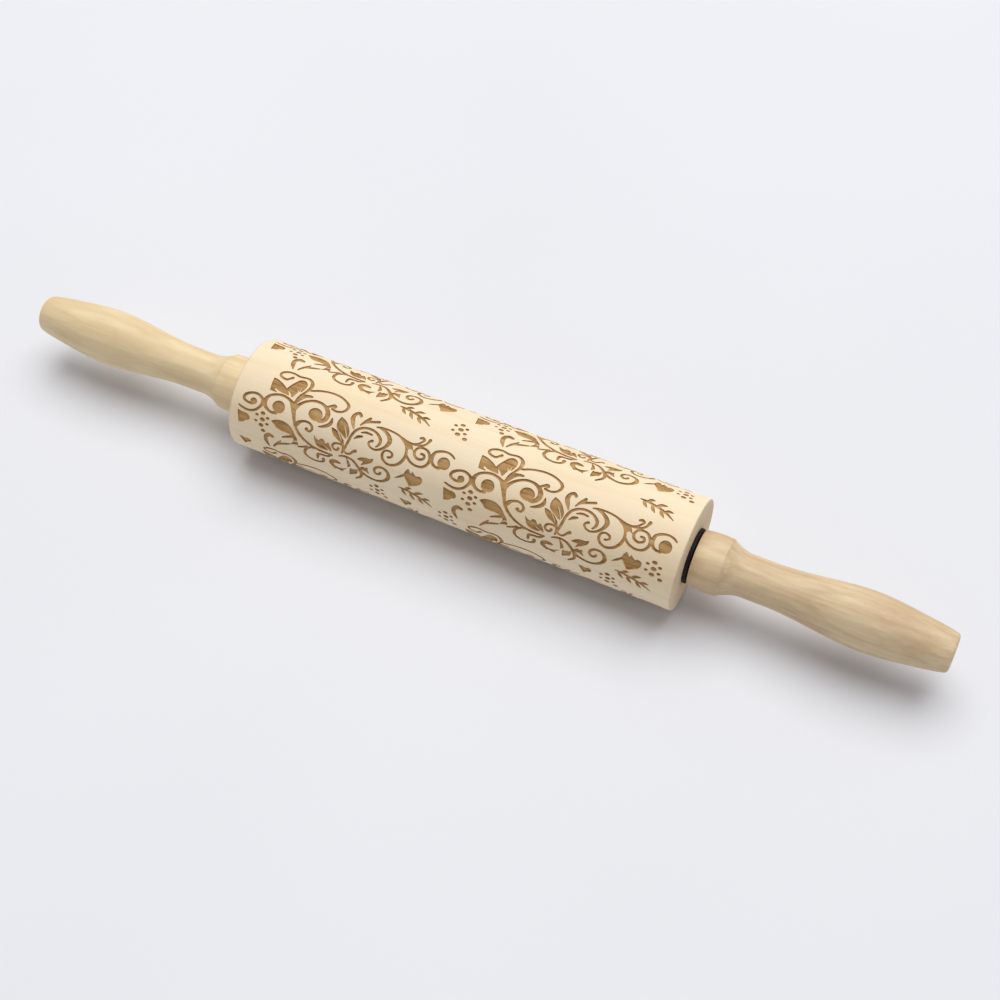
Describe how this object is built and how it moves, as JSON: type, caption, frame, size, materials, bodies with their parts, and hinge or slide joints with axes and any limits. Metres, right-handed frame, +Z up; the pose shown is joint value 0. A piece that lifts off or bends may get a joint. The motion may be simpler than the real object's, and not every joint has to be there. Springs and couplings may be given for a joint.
{
  "type": "embossing rolling pin",
  "caption": "Wooden rolling pin whose engraved barrel turns on a steel axle between turned handles, for pressing a botanical pattern into dough or clay.",
  "frame": {"origin": "middle of the barrel, on the axle's centre line", "axes": "+X along the axle towards the right handle, +Z up, +Y away from the user"},
  "size_m": [0.436, 0.05, 0.05],
  "materials": {
    "barrel_wood": "pale close-grained hardwood, sanded, bare, with laser-toasted engraving",
    "handle_wood": "turned hardwood, finely sanded, satin oiled",
    "steel": "drawn and lightly brushed",
    "black_nylon": "moulded black nylon, matt"
  },
  "bodies": {
    "handles": {"axle_rod": "steel", "left_handle": "handle_wood", "right_handle": "handle_wood", "left_washer": "steel", "right_washer": "steel"},
    "barrel": {"engraved_barrel": "barrel_wood", "left_bush": "black_nylon", "right_bush": "black_nylon"}
  },
  "joints": [
    {"name": "barrel_spin", "type": "hinge", "parent": "handles", "child": "barrel", "pos_m": [0, 0, 0], "axis": [1, 0, 0], "continuous": true}
  ]
}
